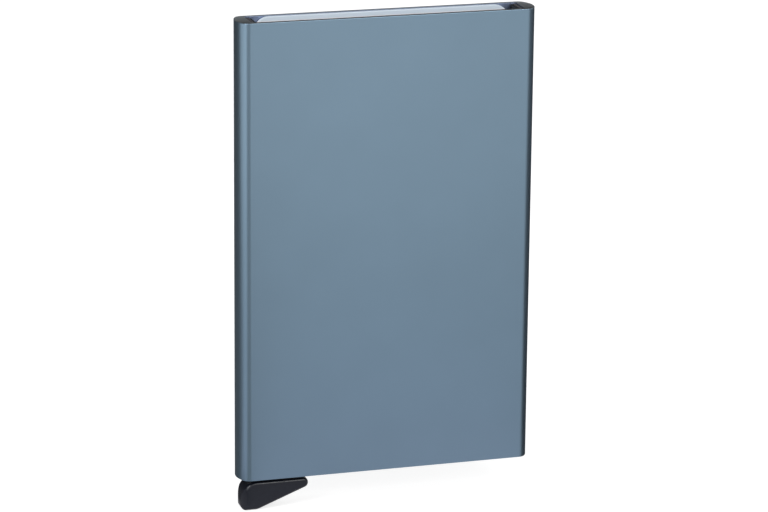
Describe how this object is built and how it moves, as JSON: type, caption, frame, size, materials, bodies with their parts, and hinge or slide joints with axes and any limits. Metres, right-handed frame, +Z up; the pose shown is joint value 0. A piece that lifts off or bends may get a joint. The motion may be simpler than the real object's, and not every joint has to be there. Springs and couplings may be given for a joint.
{
  "type": "card holder",
  "caption": "Flat anodised aluminium sleeve for bank cards, with a corner lever whose stepped arm pushes the cards up out of the open mouth.",
  "frame": {"origin": "centre of the holder in plan, at the level of the lever's lowest point, which is the lowest point of the whole", "axes": "+Z up towards the mouth, -Y towards the front face, +X towards the side away from the lever"},
  "size_m": [0.063, 0.008, 0.1033],
  "materials": {
    "anodised_aluminium": "satin anodised, slate blue",
    "cap_plastic": "fine moulded texture, black",
    "lever_plastic": "smooth moulded, near black, soft sheen",
    "pin_steel": "turned steel",
    "foam": "closed-cell rubber foam, black",
    "velour": "short dense pile, dark grey",
    "card_plastic": "smooth laminated card, pale blue white"
  },
  "bodies": {
    "holder": {"housing": "anodised_aluminium", "bottom_cap": "cap_plastic", "pivot_pin": "pin_steel", "foam_strip_left": "foam", "foam_strip_right": "foam", "velour_facing_left": "velour", "velour_facing_right": "velour"},
    "lever": {"ejector_lever": "lever_plastic"},
    "card": {"card": "card_plastic"}
  },
  "joints": [
    {"name": "lever_turn", "type": "hinge", "parent": "holder", "child": "lever", "pos_m": [-0.0255, 0, 0.0122], "axis": [0, -1, 0], "range_deg": [0, 25]},
    {"name": "card_slide", "type": "slide", "parent": "holder", "child": "card", "axis": [0, 0, 1], "range_m": [0, 0.0203]}
  ],
  "couplings": [
    {"joint": "lever_turn", "follows": "card_slide", "rad_per_m": 21.46}
  ]
}
